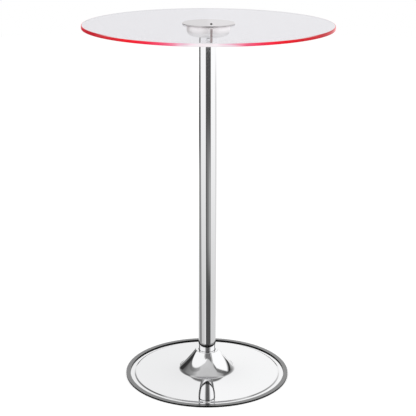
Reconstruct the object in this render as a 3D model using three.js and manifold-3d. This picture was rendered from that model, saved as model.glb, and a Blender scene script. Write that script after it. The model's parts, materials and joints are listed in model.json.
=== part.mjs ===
// A bar-height table with a light-up glass top.
// A round glass plate is clamped in a chrome hub on a chrome column. The round chrome base sweeps up
// to the column like a trumpet's bell.
// Millimetres, +Z up. The origin is on the floor, on the column's axis, and -Y is the front.

import * as THREE from 'three';
import { mergeVertices } from 'three/addons/utils/BufferGeometryUtils.js';
import Module from 'manifold-3d';

const wasm = await Module();
wasm.setup();

// Sides of the round pieces

const wideSides = 56;
const hubSides = 32;
const pinSides = 16;
const wireSides = 8;

// Clearances

const seatGap = 0.3;
const slideGap = 0.3;
const boltGap = 0.4;
const tubeGap = 0.4;
const cutOverrun = 2;

// Base

const baseRadius = 242;
const edgeRingWidth = 12.7;
const edgeRingHeight = 5.2;
const edgeLipWidth = 33.7;
const edgeLipThickness = 0.5;
const coverWall = 1;
const bandWidth = 11.5;
const stepWidth = 4.5;
const plateHeight = 4.2;
const weightMargin = 4;
const weightBore = 16;
const weightTopRadius = 100;

// Trumpet: the plate sweeps up from its start to a knee, and a cone that steepens upwards runs from there
// to a shoulder

const sweepStartRadius = 205;
const kneeRadius = 87.0;
const kneeRise = 10;
const kneeRound = 18;
const coneFootAngle = 45;
const coneTopAngle = 55;
const coneShares = [0.25, 0.5, 0.75, 1];
const shoulderRadius = 33.2;
const shoulderRound = 1.6;
const topHoleGap = 1.2;
const neckGrommetWidth = 5;
const neckGrommetHeight = 3;

// Spigot that carries the column

const spigotFlangeRadius = 58;
const spigotFlangeThickness = 6;
const neckTop = 92.9;
const neckRadius = 24.7;
const plugLength = 66;
const spigotCavityRadius = 13;
const spigotWebHeight = 64;
const spigotScrewCount = 4;
const spigotScrewCircle = 42;
const spigotScrewRadius = 3;
const spigotScrewHeadRadius = 6;
const spigotScrewHeadHeight = 3.3;
const spigotScrewSink = 0.2;
const spigotScrewTip = 1;

// Column

const columnRadius = 25.4;
const columnWall = 1.5;
const columnLength = 933.5;
const columnGasketThickness = 2.6;

// Tie rod

const rodRadius = 4.8;
const rodTail = 5;
const nutAcrossFlats = 17;
const lowerNutHeight = 8;
const upperNutHeight = 5;
const lowerWasherThickness = 2;
const upperWasherThickness = 1.6;
const washerRadius = 10.5;

// Glass plate and what clamps it

const hubFlangeRadius = 56;
const hubFlangeThickness = 4;
const hubPlugDepth = 6;
const lowerGasketThickness = 1;
const lowerGasketWidth = 11;
const glassRadius = 350;
const glassThickness = 10;
const glassHoleRadius = 43;
const glassArris = 2;
const glassHoleArris = 0.5;
const upperGasketThickness = 0.8;
const upperGasketInnerRadius = 46;
const upperGasketInset = 1.2;
const capRadius = 73.6;
const capThickness = 2.2;
const capTopRound = 0.8;
const capFootRound = 0.5;
const capBossRadius = 9;
const capBossGap = 0.4;
const capBossRoof = 2.4;

// Infrared eye in the cap

const eyeX = 7.6;
const eyeY = -28;
const eyeRadius = 3.3;
const eyeHoleGap = 0.3;
const eyeFlangeRadius = 4.3;
const eyeFlangeThickness = 0.8;
const eyeDome = 2.6;
const eyeDomeShares = [[1, 0], [0.87, 0.5], [0.5, 0.87], [0, 1]];
const receiverWidth = 5.6;
const receiverDepth = 4;

// Hub cup that slides down the column

const cupRadius = 60;
const cupWall = 1.6;
const cupDepth = 32.4;
const cupRound = 16;
const cupDish = 1.7;
const cupHoleGap = 1.5;
const cupCornerSteps = 5;
const cupGrommetWidth = 3.8;
const cupGrommetHeight = 2;

// Light ring in the glass hole

const carrierRadius = 36;
const carrierWall = 2.4;
const carrierFloor = 1.5;
const carrierHeight = 10.2;
const carrierBore = 12;
const standoffRadius = 2.4;
const standoffHeight = 2;
const standoffCircle = 22;
const standoffCount = 2;
const stripThickness = 0.4;
const stripWidth = 7;
const lightCount = 12;
const lightSize = 5;
const lightThickness = 1.5;

// Controller board

const boardRadius = 32;
const boardBore = 13;
const boardThickness = 1.6;
const chipLength = 9;
const chipWidth = 6;
const chipHeight = 1.6;
const chipCircle = 23;
const boardScrewRadius = 1.1;
const boardScrewHeadRadius = 2.2;
const boardScrewHeadHeight = 1.6;
const boardScrewLength = 2.6;

// Batteries in their holders, under the hub flange

const cellCount = 3;
const cellRadius = 7.1;
const cellLength = 48.6;
const cellTipRadius = 2.7;
const cellTipLength = 1.3;
const cellCollar = 1;
const cellPlay = 0.5;
const holderFloor = 2.3;
const holderSideWall = 0.9;
const holderEndWall = 1.2;
const holderGrip = 3;
const holderColumnGap = 2;
const holderScrewRadius = 1.4;
const holderScrewHeadRadius = 2.7;
const holderScrewHeadHeight = 1.5;
const holderScrewPlay = 0.1;
const holderScrewBite = 2.6;

// Power button, reached through the cup's floor

const buttonCircle = 36;
const buttonRadius = 4.8;
const buttonEdge = 0.8;
const buttonProud = 1.8;
const buttonTravel = 1.5;
const buttonStemRadius = 1.7;
const buttonStemLength = 4;
const buttonHoleGap = 0.6;
const switchSize = 12;
const switchHeight = 5.5;
const switchRoom = 2;
const bracketDepth = 10;

// Leads from the holders and the switch to the board

const leadRadius = 0.8;
const leadCircle = 29.6;
const leadHoleRadius = 1.9;
const leadStart = 3.4;
const switchLeadDrop = 6.8;
const leadSteps = 14;

// Heights and radii that follow from the sizes above

const edgeRingInner = baseRadius - edgeRingWidth;
const edgeLipInner = edgeRingInner - edgeLipWidth;
const bandRadius = edgeRingInner - seatGap;
const bandHeight = edgeLipThickness + seatGap + coverWall;
const bandEndRadius = bandRadius - bandWidth;
const plateRadius = bandEndRadius - stepWidth;
const spigotSeat = sweepHeight(weightTopRadius) - coverWall - seatGap;
const columnFoot = neckTop + columnGasketThickness;
const columnTop = columnFoot + columnLength;
const flangeTop = columnTop + hubFlangeThickness;
const glassFoot = flangeTop + lowerGasketThickness;
const glassTop = glassFoot + glassThickness;
const capFoot = glassTop + upperGasketThickness;
const capTop = capFoot + capThickness;
const rodHoleRadius = rodRadius + boltGap;
const plugRadius = columnRadius - columnWall - tubeGap;
const slideRadius = columnRadius + slideGap;

// Basic solids

function spot(angle, circle) {
  return [circle * Math.cos(angle), circle * Math.sin(angle)];
}

function azimuth(degrees) {
  return THREE.MathUtils.degToRad(degrees);
}

// Turns an outline of [radius, height] pairs about +Z. The outline runs anticlockwise,
// and it either starts and ends on the axis or is closed here.
function turned(outline, sides) {
  const points = outline.map(([radius, height]) => new THREE.Vector2(radius, height));
  if (points[0].x > 0) {
    points.push(points[0].clone());
  }
  return new THREE.LatheGeometry(points, sides).rotateX(Math.PI / 2);
}

function ring(innerRadius, outerRadius, low, high, sides) {
  const outline = [[innerRadius, low], [outerRadius, low], [outerRadius, high], [innerRadius, high]];
  return turned(outline, sides);
}

function bar(radius, low, high, sides, [x, y] = [0, 0]) {
  const length = high - low;
  const cylinder = new THREE.CylinderGeometry(radius, radius, length, sides);
  return cylinder.rotateX(Math.PI / 2).translate(x, y, low + length / 2);
}

function block(lowX, highX, lowY, highY, lowZ, highZ) {
  const box = new THREE.BoxGeometry(highX - lowX, highY - lowY, highZ - lowZ);
  return box.translate((lowX + highX) / 2, (lowY + highY) / 2, (lowZ + highZ) / 2);
}

function hexagonNut(acrossFlats, holeRadius, low, high) {
  const cornerRadius = acrossFlats / 2 / Math.cos(Math.PI / 6);
  const corners = Array.from({ length: 6 }, (_, i) => {
    return new THREE.Vector2(...spot(i * Math.PI / 3, cornerRadius));
  });
  const shape = new THREE.Shape(corners);
  shape.holes.push(new THREE.Path().absarc(0, 0, holeRadius, 0, Math.PI * 2, true));
  const options = { depth: high - low, bevelEnabled: false, curveSegments: pinSides };
  return new THREE.ExtrudeGeometry(shape, options).translate(0, 0, low);
}

function arc([centreRadius, centreHeight], round, fromDegrees, toDegrees, steps) {
  return Array.from({ length: steps + 1 }, (_, i) => {
    const angle = azimuth(fromDegrees + (toDegrees - fromDegrees) * i / steps);
    return [centreRadius + round * Math.cos(angle), centreHeight + round * Math.sin(angle)];
  });
}

// Moves a path of [radius, height] pairs to its left by the wall, mitred at its corners.
// Each end has one neighbour only, and it moves square to that stretch.
function offsetPath(path, wall) {
  return path.map((point, i) => {
    const before = path[Math.max(i - 1, 0)];
    const after = path[Math.min(i + 1, path.length - 1)];
    const into = new THREE.Vector2(point[0] - before[0], point[1] - before[1]).normalize();
    const out = new THREE.Vector2(after[0] - point[0], after[1] - point[1]).normalize();
    const along = into.clone().add(out).normalize();
    const reach = wall / along.dot(i > 0 ? into : out);
    return [point[0] - along.y * reach, point[1] + along.x * reach];
  });
}

// Closes a path into a sheet-metal section
function sheet(path, wall) {
  return [...path, ...offsetPath(path, wall).reverse()];
}

// Joins and cuts of closed solids

function solidOf(geometry) {
  const bare = geometry.clone();
  bare.deleteAttribute('normal');
  bare.deleteAttribute('uv');
  const merged = mergeVertices(bare);
  const index = merged.index.array;
  const corners = [];
  for (let i = 0; i < index.length; i += 3) {
    const [a, b, c] = index.slice(i, i + 3);
    if (a !== b && b !== c && c !== a) {
      corners.push(a, b, c);
    }
  }
  const vertProperties = new Float32Array(merged.attributes.position.array);
  const triVerts = new Uint32Array(corners);
  return new wasm.Manifold(new wasm.Mesh({ numProp: 3, vertProperties, triVerts }));
}

function geometryOf(solid) {
  const mesh = solid.getMesh();
  const geometry = new THREE.BufferGeometry();
  geometry.setAttribute('position', new THREE.BufferAttribute(mesh.vertProperties, 3));
  geometry.setIndex(new THREE.BufferAttribute(mesh.triVerts, 1));
  geometry.computeVertexNormals();
  return geometry;
}

function join(first, ...others) {
  return geometryOf(others.reduce((solid, other) => solid.add(solidOf(other)), solidOf(first)));
}

function cut(first, ...tools) {
  return geometryOf(tools.reduce((solid, tool) => solid.subtract(solidOf(tool)), solidOf(first)));
}

// Finishes

function finish(color, metalness, roughness, more = {}) {
  return new THREE.MeshStandardMaterial({ color, metalness, roughness, ...more });
}

const chrome = finish(0xdcdcde, 1, 0.08);
const clearGlass = finish(0xe6e8ea, 0, 0.03, { transparent: true, opacity: 0.35 });
const zincSteel = finish(0xa9adb2, 1, 0.35);
const darkSteel = finish(0x55585c, 1, 0.5);
const aluminium = finish(0xc2c4c6, 1, 0.4);
const blackRubber = finish(0x17171a, 0, 0.8);
const clearRubber = finish(0xd9d4d2, 0, 0.5);
const blackPlastic = finish(0x1d1d20, 0, 0.5);
const darkLens = finish(0x1b1216, 0, 0.1);
const stripWhite = finish(0xe8e4de, 0, 0.6);
const lightPackage = finish(0xff4a5c, 0, 0.4, { emissive: 0xff2a44 });
const boardGreen = finish(0x1f5a38, 0, 0.5);
const cellWrap = finish(0x8d9096, 0.4, 0.4);
const redLead = finish(0xb3202a, 0, 0.5);
const blackLead = finish(0x202024, 0, 0.5);

// The assembly

const table = new THREE.Group();

function place(name, geometry, material, parent = table) {
  const mesh = new THREE.Mesh(geometry, material);
  mesh.name = name;
  parent.add(mesh);
  return mesh;
}

function turnedGroup(degrees) {
  const group = new THREE.Group();
  group.rotation.z = azimuth(degrees);
  table.add(group);
  return group;
}

// Base cover: one sheet with a bright band, a step, the plate and the trumpet. The edge ring lies round it.

function sweepHeight(radius) {
  const share = THREE.MathUtils.clamp((sweepStartRadius - radius) / (sweepStartRadius - kneeRadius), 0, 1);
  return plateHeight + kneeRise * share ** 3;
}

const sweepShares = [0, 0.35, 0.6, 0.8, 1];
const sweepStations = sweepShares.map((share) => {
  const radius = THREE.MathUtils.lerp(sweepStartRadius, kneeRadius, share);
  return [radius, sweepHeight(radius)];
});

// The arc starts where the sweep ends, with the sweep's slope, and ends with the cone's
const kneeSlope = THREE.MathUtils.radToDeg(Math.atan(3 * kneeRise / (sweepStartRadius - kneeRadius)));
const kneeCentre = [
  kneeRadius + kneeRound * Math.sin(azimuth(kneeSlope)),
  sweepHeight(kneeRadius) + kneeRound * Math.cos(azimuth(kneeSlope)),
];
const kneeArc = arc(kneeCentre, kneeRound, -90 - kneeSlope, -90 - coneFootAngle, 4);
const [coneFootRadius, coneFootHeight] = kneeArc[kneeArc.length - 1];

// The cone's slope angle grows evenly from its foot to the shoulder
const footSlope = azimuth(coneFootAngle);
const coneSpread = azimuth(coneTopAngle) - footSlope;
const coneStations = coneShares.map((share) => {
  const radius = THREE.MathUtils.lerp(coneFootRadius, shoulderRadius, share);
  const bend = Math.log(Math.cos(footSlope) / Math.cos(footSlope + coneSpread * share));
  return [radius, coneFootHeight + (coneFootRadius - shoulderRadius) * bend / coneSpread];
});
const coverTop = coneStations[coneStations.length - 1][1];
const shoulderSet = shoulderRound * Math.tan(azimuth(coneTopAngle / 2));
const shoulderCentre = [shoulderRadius - shoulderSet, coverTop - shoulderRound];
const shoulderArc = arc(shoulderCentre, shoulderRound, 90 - coneTopAngle, 90, 2);

function baseCover() {
  const path = [
    [bandRadius, bandHeight],
    [bandEndRadius, bandHeight],
    [plateRadius, plateHeight],
    ...sweepStations,
    ...kneeArc.slice(1),
    ...coneStations.slice(0, -1),
    ...shoulderArc,
    [neckRadius + topHoleGap, coverTop],
  ];
  return turned(sheet(path, coverWall), wideSides);
}

function baseWeight() {
  const under = coverWall + seatGap;
  const outerRadius = plateRadius - weightMargin;
  const swept = sweepStations.filter(([radius]) => radius > weightTopRadius);
  const outline = [
    [weightBore, edgeLipThickness],
    [outerRadius, edgeLipThickness],
    [outerRadius, plateHeight - under],
    ...swept.map(([radius, height]) => [radius, height - under]),
    [weightTopRadius, spigotSeat],
    [weightBore, spigotSeat],
  ];
  return turned(outline, wideSides);
}

// Rubber ring that the base stands on: a raised ring round the cover's edge, and a thin lip under it
function edgeRing() {
  const outline = [
    [edgeLipInner, 0],
    [baseRadius, 0],
    [baseRadius, edgeRingHeight],
    [edgeRingInner, edgeRingHeight],
    [edgeRingInner, edgeLipThickness],
    [edgeLipInner, edgeLipThickness],
  ];
  return turned(outline, wideSides);
}

function spigotScrewSpots() {
  return Array.from({ length: spigotScrewCount }, (_, i) => {
    return spot(2 * Math.PI * (i + 0.5) / spigotScrewCount, spigotScrewCircle);
  });
}

const screwFoot = edgeLipThickness + spigotScrewSink;
const screwTip = spigotSeat + spigotFlangeThickness - spigotScrewTip - boltGap;

// The screw, or with a gap the hole that clears it
function spigotScrew(gap) {
  const shank = spigotScrewRadius + gap;
  const head = spigotScrewHeadRadius + gap;
  const foot = gap > 0 ? edgeLipThickness - cutOverrun : screwFoot;
  const outline = [
    [0, foot],
    [head, foot],
    [head, screwFoot],
    [shank, screwFoot + spigotScrewHeadHeight],
    [shank, screwTip + gap],
    [0, screwTip + gap],
  ];
  const plain = outline.filter((_, i) => gap > 0 || i !== 2);
  return turned(plain, pinSides);
}

function screwHoles() {
  return spigotScrewSpots().map(([x, y]) => spigotScrew(boltGap).translate(x, y, 0));
}

const webFoot = spigotSeat + spigotWebHeight;
const plugTop = neckTop + plugLength;

function spigot() {
  const flangeFace = spigotSeat + spigotFlangeThickness;
  const outline = [
    [spigotCavityRadius, spigotSeat],
    [spigotFlangeRadius, spigotSeat],
    [spigotFlangeRadius, flangeFace],
    [neckRadius, flangeFace],
    [neckRadius, neckTop],
    [plugRadius, neckTop],
    [plugRadius, plugTop],
    [rodHoleRadius, plugTop],
    [rodHoleRadius, webFoot],
    [spigotCavityRadius, webFoot],
  ];
  return cut(turned(outline, hubSides), ...screwHoles());
}

// Rubber ring round the neck, just under the top of the base cover
function neckGrommet() {
  const inner = neckRadius + seatGap;
  const top = coverTop - coverWall - seatGap;
  return ring(inner, inner + neckGrommetWidth, top - neckGrommetHeight, top, hubSides);
}

place('edge_ring', edgeRing(), blackRubber);
place('base_weight', cut(baseWeight(), ...screwHoles()), darkSteel);
place('base_cover', baseCover(), chrome);
place('spigot', spigot(), chrome);
spigotScrewSpots().forEach(([x, y], i) => {
  place(`spigot_screw_${i + 1}`, spigotScrew(0), zincSteel).position.set(x, y, 0);
});
place('neck_grommet', neckGrommet(), blackRubber);

// Column, its gasket on the spigot's shoulder, and the tie rod that pulls the hub down on it

const gasketBore = plugRadius + slideGap;
const columnBore = columnRadius - columnWall;
const lowerWasherFoot = webFoot - lowerWasherThickness;
const lowerNutFoot = lowerWasherFoot - lowerNutHeight;
const upperNutFoot = flangeTop + upperWasherThickness;
const upperNutTop = upperNutFoot + upperNutHeight;
const bossHoleRoof = capTop - capBossRoof;
const rodTop = bossHoleRoof - boltGap;

place('column_gasket', ring(gasketBore, columnRadius, neckTop, columnFoot, hubSides), blackRubber);
place('column_tube', ring(columnBore, columnRadius, columnFoot, columnTop, hubSides), chrome);
place('tie_rod', bar(rodRadius, lowerNutFoot - rodTail, rodTop, pinSides), zincSteel);
place('lower_washer', ring(rodHoleRadius, washerRadius, lowerWasherFoot, webFoot, pinSides), zincSteel);
place('lower_nut', hexagonNut(nutAcrossFlats, rodHoleRadius, lowerNutFoot, lowerWasherFoot), zincSteel);
place('upper_washer', ring(rodHoleRadius, washerRadius, flangeTop, upperNutFoot, pinSides), zincSteel);
place('upper_nut', hexagonNut(nutAcrossFlats, rodHoleRadius, upperNutFoot, upperNutTop), zincSteel);

// Hub flange on the column, with holes for the leads and the holders' screws

const holderTurn = 360 / cellCount;
const holderAngles = Array.from({ length: cellCount }, (_, i) => 90 + i * holderTurn);
const leadAngles = holderAngles.map((degrees) => degrees - holderTurn / 2);
const holderInner = columnRadius + holderColumnGap;
const cellCircle = holderInner + holderSideWall + cellPlay / 2 + cellRadius;
const holderOuter = 2 * cellCircle - holderInner;
const holderTop = columnTop - seatGap;
const holderScrewTop = columnTop + holderScrewBite;

function leadHoles() {
  const low = columnTop - cutOverrun;
  const high = flangeTop + carrierFloor + cutOverrun;
  return leadAngles.map((degrees) => {
    return bar(leadHoleRadius, low, high, pinSides, spot(azimuth(degrees), leadCircle));
  });
}

function holderScrewHoles() {
  const radius = holderScrewRadius + slideGap;
  const low = columnTop - cutOverrun;
  const high = holderScrewTop + slideGap;
  return holderAngles.map((degrees) => {
    return bar(radius, low, high, pinSides, spot(azimuth(degrees), cellCircle));
  });
}

function hubFlange() {
  const plugFoot = columnTop - hubPlugDepth;
  const outline = [
    [rodHoleRadius, plugFoot],
    [plugRadius, plugFoot],
    [plugRadius, columnTop],
    [hubFlangeRadius, columnTop],
    [hubFlangeRadius, flangeTop],
    [rodHoleRadius, flangeTop],
  ];
  return cut(turned(outline, hubSides), ...leadHoles(), ...holderScrewHoles());
}

place('hub_flange', hubFlange(), zincSteel);

// Glass plate between two clear gaskets, and the cap that is screwed down on the tie rod

function glassPlate() {
  const outline = [
    [glassHoleRadius + glassHoleArris, glassFoot],
    [glassRadius - glassArris, glassFoot],
    [glassRadius, glassFoot + glassArris],
    [glassRadius, glassTop - glassArris],
    [glassRadius - glassArris, glassTop],
    [glassHoleRadius + glassHoleArris, glassTop],
    [glassHoleRadius, glassTop - glassHoleArris],
    [glassHoleRadius, glassFoot + glassHoleArris],
  ];
  return turned(outline, wideSides);
}

function topCap() {
  const bossFoot = upperNutTop + capBossGap;
  const roundCentre = [capRadius - capTopRound, capTop - capTopRound];
  const outline = [
    [0, bossHoleRoof],
    [rodHoleRadius, bossHoleRoof],
    [rodHoleRadius, bossFoot],
    [capBossRadius, bossFoot],
    [capBossRadius, capFoot],
    [capRadius - capFootRound, capFoot],
    [capRadius, capFoot + capFootRound],
    ...arc(roundCentre, capTopRound, 0, 90, 2),
    [0, capTop],
  ];
  const holeFoot = capFoot - cutOverrun;
  const hole = bar(eyeRadius + eyeHoleGap, holeFoot, capTop + cutOverrun, pinSides, [eyeX, eyeY]);
  return cut(turned(outline, hubSides), hole);
}

const lowerGasketInner = hubFlangeRadius - lowerGasketWidth;
const upperGasketOuter = capRadius - upperGasketInset;
const upperGasket = ring(upperGasketInnerRadius, upperGasketOuter, glassTop, capFoot, hubSides);

place('lower_gasket', ring(lowerGasketInner, hubFlangeRadius, flangeTop, glassFoot, hubSides), clearRubber);
place('glass_top', glassPlate(), clearGlass);
place('upper_gasket', upperGasket, clearRubber);
place('top_cap', topCap(), chrome);

// Light ring: an aluminium carrier in the glass hole, a strip round it, and the lights on the strip

const carrierTop = flangeTop + carrierHeight;
const carrierFloorTop = flangeTop + carrierFloor;
const boardFoot = carrierFloorTop + standoffHeight;
const boardTop = boardFoot + boardThickness;
const boardScrewTip = boardTop - boardScrewLength;
const stripInner = carrierRadius + seatGap;
const stripOuter = stripInner + stripThickness;
const stripMiddle = (carrierFloorTop + carrierTop) / 2;
const standoffSpots = Array.from({ length: standoffCount }, (_, i) => {
  return spot(2 * Math.PI * i / standoffCount, standoffCircle);
});

function lightCarrier() {
  const rimInner = carrierRadius - carrierWall;
  const outline = [
    [carrierBore, flangeTop],
    [carrierRadius, flangeTop],
    [carrierRadius, carrierTop],
    [rimInner, carrierTop],
    [rimInner, carrierFloorTop],
    [carrierBore, carrierFloorTop],
  ];
  const posts = standoffSpots.map((centre) => {
    return bar(standoffRadius, flangeTop + carrierFloor / 2, boardFoot, pinSides, centre);
  });
  const threadRadius = boardScrewRadius + slideGap;
  const threads = standoffSpots.map((centre) => {
    return bar(threadRadius, boardScrewTip - slideGap, boardFoot + cutOverrun, pinSides, centre);
  });
  return cut(join(turned(outline, hubSides), ...posts), ...threads, ...leadHoles());
}

function lightPiece() {
  const inner = stripOuter + seatGap;
  const half = lightSize / 2;
  return block(inner, inner + lightThickness, -half, half, stripMiddle - half, stripMiddle + half);
}

// Three flats of the strip to a light, so that each light lies on the middle of a flat
const stripSides = 3 * lightCount;
const stripLow = stripMiddle - stripWidth / 2;

place('light_carrier', lightCarrier(), aluminium);
place('light_strip', ring(stripInner, stripOuter, stripLow, stripLow + stripWidth, stripSides), stripWhite);
for (let i = 0; i < lightCount; i += 1) {
  const group = turnedGroup(360 / lightCount * (i + 0.5));
  place(`light_${String(i + 1).padStart(2, '0')}`, lightPiece(), lightPackage, group);
}

// Controller board on the carrier, the infrared receiver on it and the dark lens above

function controllerBoard() {
  const chipInner = chipCircle - chipWidth / 2;
  const half = chipLength / 2;
  const chip = block(-half, half, chipInner, chipInner + chipWidth, boardFoot, boardTop + chipHeight);
  const holes = standoffSpots.map((centre) => {
    return bar(boardScrewRadius + slideGap, boardFoot - cutOverrun, boardTop + cutOverrun, pinSides, centre);
  });
  return cut(join(ring(boardBore, boardRadius, boardFoot, boardTop, hubSides), chip), ...holes);
}

function boardScrew() {
  const headFoot = boardTop + slideGap;
  const outline = [
    [0, boardScrewTip],
    [boardScrewRadius, boardScrewTip],
    [boardScrewRadius, headFoot],
    [boardScrewHeadRadius, headFoot],
    [boardScrewHeadRadius, headFoot + boardScrewHeadHeight],
    [0, headFoot + boardScrewHeadHeight],
  ];
  return turned(outline, pinSides);
}

const eyeFlangeTop = capFoot - seatGap;
const eyeFoot = eyeFlangeTop - eyeFlangeThickness;

function eyeLens() {
  const outline = [
    [0, eyeFoot],
    [eyeFlangeRadius, eyeFoot],
    [eyeFlangeRadius, eyeFlangeTop],
    [eyeRadius, eyeFlangeTop],
    ...eyeDomeShares.map(([out, up]) => [eyeRadius * out, capTop + eyeDome * up]),
  ];
  return turned(outline, pinSides);
}

function receiver() {
  const halfWidth = receiverWidth / 2;
  const halfDepth = receiverDepth / 2;
  const foot = boardTop + seatGap;
  return block(-halfWidth, halfWidth, -halfDepth, halfDepth, foot, eyeFoot - seatGap);
}

place('controller_board', controllerBoard(), boardGreen);
standoffSpots.forEach(([x, y], i) => {
  place(`board_screw_${i + 1}`, boardScrew(), zincSteel).position.set(x, y, 0);
});
place('infrared_receiver', receiver(), blackPlastic).position.set(eyeX, eyeY, 0);
place('infrared_lens', eyeLens(), darkLens).position.set(eyeX, eyeY, 0);

// Hub cup round the flange and the batteries. It is held on the column by its grommet and slides down.

const cupRim = glassFoot - seatGap;
const cupFoot = cupRim - cupDepth;
const cupHole = slideRadius + cupHoleGap;
const cupFlat = cupRadius - cupRound;

function cupFloorOutside(radius) {
  return cupFoot + cupDish * (radius - cupHole) / (cupFlat - cupHole);
}

function hubCup() {
  const arcCentre = [cupFlat, cupFloorOutside(cupFlat) + cupRound];
  const path = [
    [cupHole, cupFoot],
    ...arc(arcCentre, cupRound, -90, 0, cupCornerSteps),
    [cupRadius, cupRim],
  ];
  const buttonHole = bar(
    buttonRadius + buttonHoleGap,
    cupFoot - cutOverrun,
    cupFoot + cupDish + cupWall + cutOverrun,
    pinSides,
    [0, -buttonCircle],
  );
  return cut(turned(sheet(path, cupWall), hubSides), buttonHole);
}

function cupGrommet() {
  const flangeFoot = cupFloorOutside(slideRadius + cupGrommetWidth) + cupWall + seatGap;
  const sleeve = cupHole - slideGap;
  const outline = [
    [slideRadius, cupFoot],
    [sleeve, cupFoot],
    [sleeve, flangeFoot],
    [slideRadius + cupGrommetWidth, flangeFoot],
    [slideRadius + cupGrommetWidth, flangeFoot + cupGrommetHeight],
    [slideRadius, flangeFoot + cupGrommetHeight],
  ];
  return turned(outline, hubSides);
}

place('hub_cup', hubCup(), chrome);
place('cup_grommet', cupGrommet(), blackRubber);

// Batteries: each lies across a radius in a plastic holder screwed up under the flange

const cellHeight = holderTop - holderFloor - seatGap - cellRadius;
const cellWhole = cellLength + cellTipLength;
const holderHalfLength = cellWhole / 2 + cellPlay + holderEndWall;
const holderScrewSeat = cellHeight + cellRadius + seatGap + holderScrewHeadHeight + holderScrewPlay;

function batteryHolder() {
  const foot = cellHeight - holderGrip;
  const body = block(holderInner, holderOuter, -holderHalfLength, holderHalfLength, foot, holderTop);
  const room = cellRadius + cellPlay / 2;
  const halfRoom = cellWhole / 2 + cellPlay;
  const trough = bar(room, -halfRoom, halfRoom, pinSides).rotateX(Math.PI / 2);
  trough.translate(cellCircle, 0, cellHeight);
  const mouth = block(
    cellCircle - room,
    cellCircle + room,
    -halfRoom,
    halfRoom,
    foot - cutOverrun,
    cellHeight,
  );
  const hole = bar(holderScrewRadius + slideGap, foot, holderTop + cutOverrun, pinSides, [cellCircle, 0]);
  const sink = bar(holderScrewHeadRadius + slideGap, foot, holderScrewSeat, pinSides, [cellCircle, 0]);
  return cut(body, trough, mouth, hole, sink);
}

function holderScrew() {
  const headTop = holderScrewSeat - holderScrewPlay;
  const headFoot = headTop - holderScrewHeadHeight;
  const outline = [
    [0, headFoot],
    [holderScrewHeadRadius, headFoot],
    [holderScrewHeadRadius, headTop],
    [holderScrewRadius, headTop],
    [holderScrewRadius, holderScrewTop],
    [0, holderScrewTop],
  ];
  return turned(outline, pinSides).translate(cellCircle, 0, 0);
}

function battery() {
  const foot = -cellWhole / 2;
  const shoulder = foot + cellLength;
  const outline = [
    [0, foot],
    [cellRadius - cellCollar, foot],
    [cellRadius, foot + cellCollar],
    [cellRadius, shoulder - cellCollar],
    [cellRadius - cellCollar, shoulder],
    [cellTipRadius, shoulder],
    [cellTipRadius, shoulder + cellTipLength],
    [0, shoulder + cellTipLength],
  ];
  return turned(outline, pinSides).rotateX(Math.PI / 2).translate(cellCircle, 0, cellHeight);
}

holderAngles.forEach((degrees, i) => {
  const group = turnedGroup(degrees);
  place(`battery_holder_${i + 1}`, batteryHolder(), blackPlastic, group);
  place(`holder_screw_${i + 1}`, holderScrew(), zincSteel, group);
  place(`battery_${i + 1}`, battery(), cellWrap, group);
});

// Power button in the cup's floor, at the front, with the switch that it works

const buttonFoot = cupFloorOutside(buttonCircle) - buttonProud;
const switchFoot = buttonFoot + buttonProud + cupWall + switchRoom + buttonTravel;
const buttonTop = switchFoot - seatGap - buttonTravel;
const switchTop = switchFoot + switchHeight;

function powerButton() {
  const outline = [
    [0, buttonFoot],
    [buttonRadius - buttonEdge, buttonFoot],
    [buttonRadius, buttonFoot + buttonEdge],
    [buttonRadius, buttonTop],
    [buttonStemRadius, buttonTop],
    [buttonStemRadius, buttonTop + buttonStemLength],
    [0, buttonTop + buttonStemLength],
  ];
  return turned(outline, pinSides);
}

function switchBody() {
  const half = switchSize / 2;
  const body = block(-half, half, -half, half, switchFoot, switchTop);
  const stemRoof = buttonTop + buttonStemLength + buttonTravel + seatGap;
  return cut(body, bar(buttonStemRadius + slideGap, switchFoot - cutOverrun, stemRoof, pinSides));
}

function switchBracket() {
  const half = switchSize / 2;
  return block(-half, half, -bracketDepth / 2, bracketDepth / 2, switchTop, columnTop - seatGap);
}

place('switch_bracket', switchBracket(), blackPlastic).position.set(0, -buttonCircle, 0);
place('switch_body', switchBody(), blackPlastic).position.set(0, -buttonCircle, 0);
place('power_button', powerButton(), blackPlastic).position.set(0, -buttonCircle, 0);

// Leads: out of the side that each starts from, then up through the flange to the board

function lead(points) {
  const corners = Array.from({ length: wireSides }, (_, i) => {
    return new THREE.Vector2(...spot(2 * Math.PI * i / wireSides, leadRadius));
  });
  const path = new THREE.CatmullRomCurve3(points.map((point) => new THREE.Vector3(...point)));
  const options = { steps: leadSteps, extrudePath: path, bevelEnabled: false };
  return new THREE.ExtrudeGeometry(new THREE.Shape(corners), options);
}

// In the turned group of a lead's hole: from the end wall of the holder beside it
function holderLead(side) {
  const lowEnd = columnTop - leadStart;
  const [endX, endY] = [cellCircle, side * (holderHalfLength + seatGap)];
  const swing = azimuth(-side * holderTurn / 2);
  const start = [
    endX * Math.cos(swing) - endY * Math.sin(swing),
    endX * Math.sin(swing) + endY * Math.cos(swing),
  ];
  const [outX, outY] = [Math.sin(-swing) * side, Math.cos(swing) * side];
  const easeX = start[0] + outX * leadStart;
  const easeY = start[1] + outY * leadStart;
  return lead([
    [...start, lowEnd],
    [easeX, easeY, lowEnd],
    [leadCircle, 0, columnTop],
    [leadCircle, 0, flangeTop],
    [leadCircle, 0, boardFoot - seatGap],
  ]);
}

function switchLead() {
  const bracketInner = buttonCircle - bracketDepth / 2 - seatGap;
  return lead([
    [bracketInner - leadRadius, 0, columnTop - switchLeadDrop],
    [leadCircle, 0, columnTop - leadStart],
    [leadCircle, 0, columnTop],
    [leadCircle, 0, flangeTop],
    [leadCircle, 0, boardFoot - seatGap],
  ]);
}

const [rightLeadAngle, leftLeadAngle, frontLeadAngle] = leadAngles;

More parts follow.
